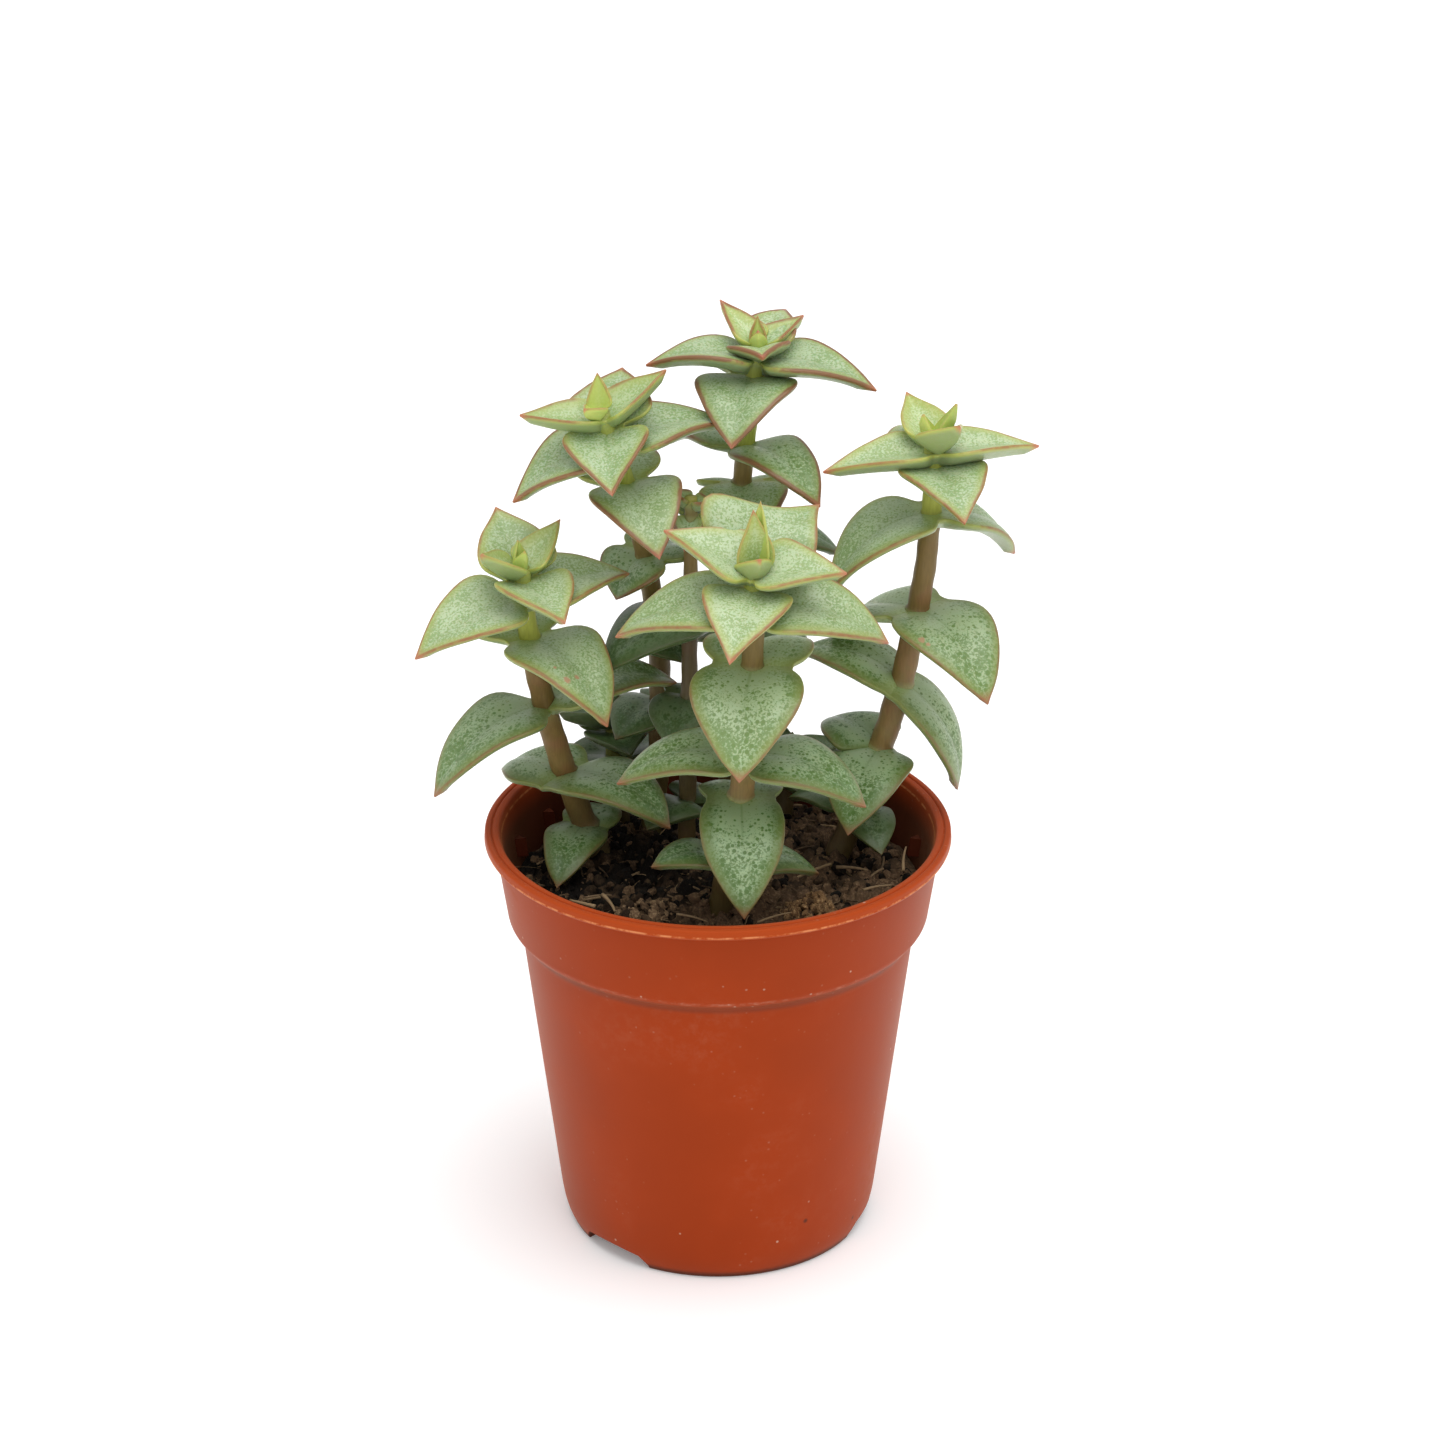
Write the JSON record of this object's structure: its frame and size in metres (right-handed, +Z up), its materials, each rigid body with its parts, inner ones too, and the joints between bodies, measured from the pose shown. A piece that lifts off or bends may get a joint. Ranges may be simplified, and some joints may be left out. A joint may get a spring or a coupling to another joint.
{
  "type": "potted succulent",
  "caption": "Small potted string of buttons: upright shoots of thick, paired, pointed leaves in dark soil, in a tapered round nursery pot.",
  "frame": {"origin": "on the surface that the pot stands on, under the middle of the whole plant and pot", "axes": "+Z up; the picture's viewer stands at -Y and looks along +Y; +X is the picture's right"},
  "size_m": [0.0713, 0.055, 0.1099],
  "materials": {
    "pot_plastic": "satin terracotta-coloured moulded polypropylene",
    "peat": "dark damp peat soil, matt and crumbly",
    "shoot_front_leaf": "living succulent leaves and stem: waxy bloom over green, with fine speckles and red-brown margins",
    "shoot_left_leaf": "living succulent leaves and stem: waxy bloom over green, with fine speckles and red-brown margins",
    "shoot_right_leaf": "living succulent leaves and stem: waxy bloom over green, with fine speckles and red-brown margins",
    "shoot_back_left_leaf": "living succulent leaves and stem: waxy bloom over green, with fine speckles and red-brown margins",
    "shoot_tall_leaf": "living succulent leaves and stem: waxy bloom over green, with fine speckles and red-brown margins",
    "shoot_inner_leaf": "living succulent leaves and stem: waxy bloom over green, with fine speckles and red-brown margins",
    "shoot_back_right_leaf": "living succulent leaves and stem: waxy bloom over green, with fine speckles and red-brown margins",
    "shoot_back_leaf": "living succulent leaves and stem: waxy bloom over green, with fine speckles and red-brown margins"
  },
  "bodies": {
    "root": {"pot": "pot_plastic", "soil": "peat", "shoot_front": "shoot_front_leaf", "shoot_left": "shoot_left_leaf", "shoot_right": "shoot_right_leaf", "shoot_back_left": "shoot_back_left_leaf", "shoot_tall": "shoot_tall_leaf", "shoot_inner": "shoot_inner_leaf", "shoot_back_right": "shoot_back_right_leaf", "shoot_back": "shoot_back_leaf"}
  },
  "joints": []
}
